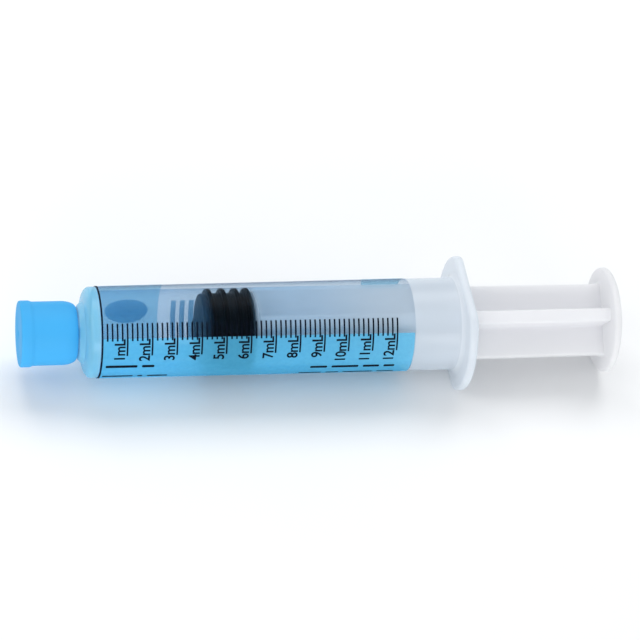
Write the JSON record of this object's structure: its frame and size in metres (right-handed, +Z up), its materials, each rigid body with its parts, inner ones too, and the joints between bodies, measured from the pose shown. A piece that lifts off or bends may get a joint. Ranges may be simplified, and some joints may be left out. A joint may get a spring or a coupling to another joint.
{
  "type": "oral syringe",
  "caption": "Capped oral syringe: graduated translucent barrel with wrap label and flatted finger flange, ringed rubber stopper, cruciform plunger rod and push-on tip cap.",
  "frame": {"origin": "middle of the base of the bounding box, on the plane of the flange's lower flat and the thumb rest's lowest point", "axes": "+X along the syringe's axis from the tip to the thumb rest, +Z up, square to the flange's flats; the axis is 10.6 mm above the origin"},
  "size_m": [0.1192, 0.027, 0.0212],
  "materials": {
    "barrel_polypropylene": "natural translucent, satin gloss",
    "label_film": "clear film, part printed light blue",
    "cap_polypropylene": "satin",
    "stopper_rubber": "siliconed satin",
    "rod_polypropylene": "natural white, satin"
  },
  "bodies": {
    "barrel": {"barrel": "barrel_polypropylene", "wrap_label": "label_film"},
    "stopper": {"plunger_stopper": "stopper_rubber"},
    "rod": {"plunger_rod": "rod_polypropylene"},
    "cap": {"tip_cap": "cap_polypropylene"}
  },
  "joints": [
    {"name": "plunger_slide", "type": "slide", "parent": "barrel", "child": "stopper", "axis": [1, 0, 0], "range_m": [-0.0215, 0.0382]},
    {"name": "rod_spin", "type": "hinge", "parent": "stopper", "child": "rod", "pos_m": [0, 0, 0.0106], "axis": [1, 0, 0], "continuous": true},
    {"name": "cap_pull", "type": "slide", "parent": "barrel", "child": "cap", "axis": [-1, 0, 0], "range_m": [0, 0.02]}
  ]
}
